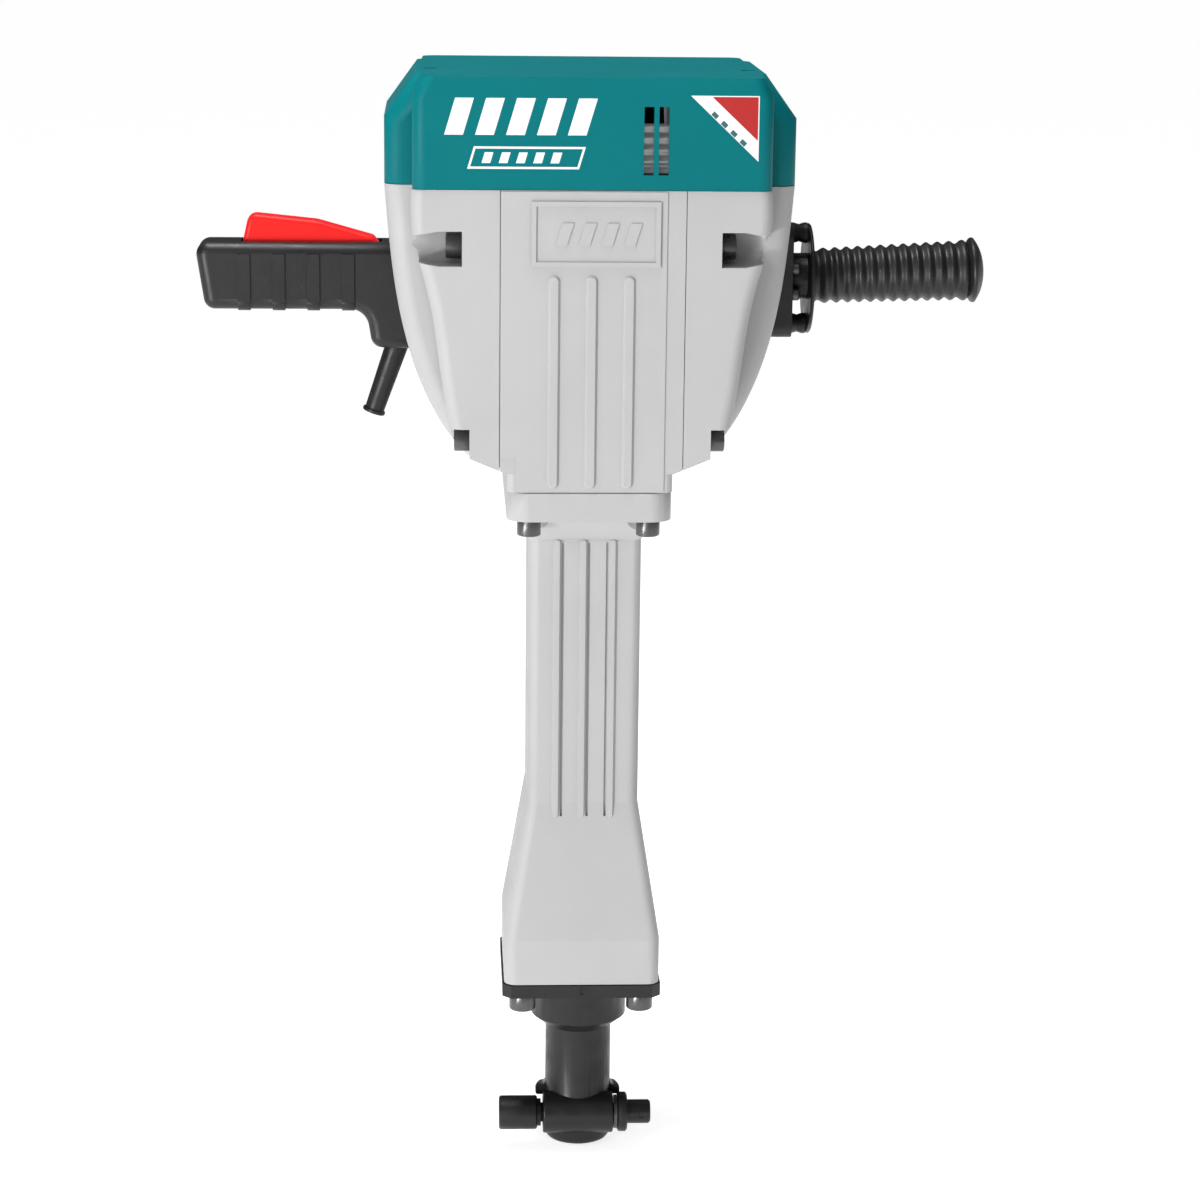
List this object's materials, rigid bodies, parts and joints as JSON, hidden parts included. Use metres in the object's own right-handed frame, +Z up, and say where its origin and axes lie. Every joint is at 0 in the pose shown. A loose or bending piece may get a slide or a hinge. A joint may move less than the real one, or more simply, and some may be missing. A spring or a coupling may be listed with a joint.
{
  "type": "electric jackhammer",
  "caption": "Upright electric demolition hammer: motor head with ribbed crankcase, long barrel, hexagonal tool holder, switch handle with trigger lever and ribbed side grip.",
  "frame": {"origin": "centre of the tool holder's mouth", "axes": "+Z up the striking axis towards the motor, +X towards the ribbed side grip, -Y is the front with the name panel"},
  "size_m": [0.5784, 0.2184, 0.829],
  "materials": {
    "grey_casting": "painted, satin",
    "teal_cover": "painted, satin",
    "black_steel": "satin black oxide",
    "bolt_steel": "black oxide",
    "ground_steel": "ground",
    "gear_steel": "machined, oiled",
    "black_plastic": "fine texture",
    "red_plastic": "satin",
    "black_rubber": "matt",
    "copper_winding": "enamelled copper",
    "commutator_copper": "turned copper",
    "carbon": "graphite",
    "laminations": "stacked sheet",
    "aluminium_inner": "cast",
    "inner_plastic": "moulded",
    "bearing_steel": "ground and polished",
    "spring_steel": "drawn wire"
  },
  "bodies": {
    "housing": {"crankcase": "grey_casting", "left_side_cover": "grey_casting", "right_gear_cover": "grey_casting", "barrel_housing": "grey_casting", "side_cover_bolts": "bolt_steel", "top_cover": "teal_cover", "top_cover_screws": "ground_steel", "barrel_bolts": "bolt_steel", "nose_holder": "black_steel", "nose_bolts": "bolt_steel", "nose_gasket": "black_rubber", "tool_sleeve": "gear_steel", "guide_sleeve": "gear_steel", "damper_ring": "black_rubber", "nose_seal": "black_rubber", "cylinder_liner": "ground_steel", "crank_bearings": "bearing_steel", "intermediate_bearings": "bearing_steel", "gear_case_wall": "aluminium_inner", "armature_bearings": "bearing_steel", "stator_core": "laminations", "stator_windings": "copper_winding", "brush_holders": "inner_plastic", "carbon_brushes": "carbon", "fan_baffle": "inner_plastic", "lock_pin_spring": "spring_steel", "left_handle_front_shell": "black_plastic", "left_handle_rear_shell": "black_plastic", "left_handle_screws": "bolt_steel", "cord_boot": "black_rubber", "trigger_pivot_pin": "ground_steel", "trigger_spring": "spring_steel", "switch_body": "inner_plastic", "right_handle_bracket": "black_steel", "right_handle_dampers": "black_rubber", "right_handle_bolts": "bolt_steel", "right_handle_disc": "black_steel", "right_grip": "black_rubber"},
    "armature": {"armature_shaft": "gear_steel", "armature_core": "laminations", "armature_windings": "copper_winding", "commutator": "commutator_copper", "cooling_fan": "aluminium_inner"},
    "intermediate_stage": {"intermediate_shaft": "gear_steel", "intermediate_gear": "gear_steel"},
    "crank": {"crankshaft": "gear_steel", "crank_gear": "gear_steel"},
    "rod": {"connecting_rod": "gear_steel", "crank_pin": "ground_steel"},
    "drive_piston": {"piston": "aluminium_inner", "piston_ring": "black_rubber", "piston_pin": "ground_steel"},
    "anvil": {"impact_bolt": "ground_steel"},
    "ram": {"striker": "ground_steel", "striker_rings": "black_rubber"},
    "lock_washer": {"lock_pin_washer": "bolt_steel"},
    "retaining_pin": {"lock_pin": "black_steel", "lock_pin_collar": "black_steel"},
    "trigger": {"trigger_lever": "red_plastic"},
    "plunger": {"switch_plunger": "inner_plastic"}
  },
  "joints": [
    {"name": "crank_spin", "type": "hinge", "parent": "housing", "child": "crank", "pos_m": [0.05, 0, 0.657], "axis": [1, 0, 0], "continuous": true},
    {"name": "intermediate_spin", "type": "hinge", "parent": "housing", "child": "intermediate_stage", "pos_m": [0.09, 0.0123, 0.71445], "axis": [1, 0, 0], "continuous": true},
    {"name": "armature_spin", "type": "hinge", "parent": "housing", "child": "armature", "pos_m": [0, 0, 0.766], "axis": [1, 0, 0], "continuous": true},
    {"name": "piston_slide", "type": "slide", "parent": "housing", "child": "drive_piston", "axis": [0, 0, 1], "range_m": [0, 0.05]},
    {"name": "con_rod_swing", "type": "hinge", "parent": "drive_piston", "child": "rod", "pos_m": [0, 0, 0.512], "axis": [1, 0, 0], "range_deg": [-12, 12]},
    {"name": "anvil_slide", "type": "slide", "parent": "housing", "child": "anvil", "axis": [0, 0, 1], "range_m": [0, 0.015]},
    {"name": "striker_slide", "type": "slide", "parent": "anvil", "child": "ram", "axis": [0, 0, 1], "range_m": [0, 0.07]},
    {"name": "lock_pin_pull", "type": "slide", "parent": "housing", "child": "lock_washer", "axis": [-1, 0, 0], "range_m": [0, 0.003], "stiffness_N_per_m": 1500, "springref_m": -0.003, "deforming": ["lock_pin_spring"]},
    {"name": "lock_pin_turn", "type": "hinge", "parent": "lock_washer", "child": "retaining_pin", "pos_m": [0, -0.0175, 0.025], "axis": [1, 0, 0], "range_deg": [0, 180]},
    {"name": "trigger_press", "type": "hinge", "parent": "housing", "child": "trigger", "pos_m": [-0.158, 0, 0.693], "axis": [0, -1, 0], "range_deg": [0, 6], "stiffness_Nm_per_rad": 6, "springref_deg": -4.58, "deforming": ["trigger_spring"]},
    {"name": "plunger_press", "type": "slide", "parent": "housing", "child": "plunger", "axis": [0, 0, -1], "range_m": [0, 0.0066]}
  ],
  "couplings": [
    {"joint": "intermediate_spin", "follows": "crank_spin", "ratio": -2.9167},
    {"joint": "armature_spin", "follows": "crank_spin", "ratio": 11.136},
    {"joint": "plunger_press", "follows": "trigger_press", "m_per_rad": 0.062}
  ]
}
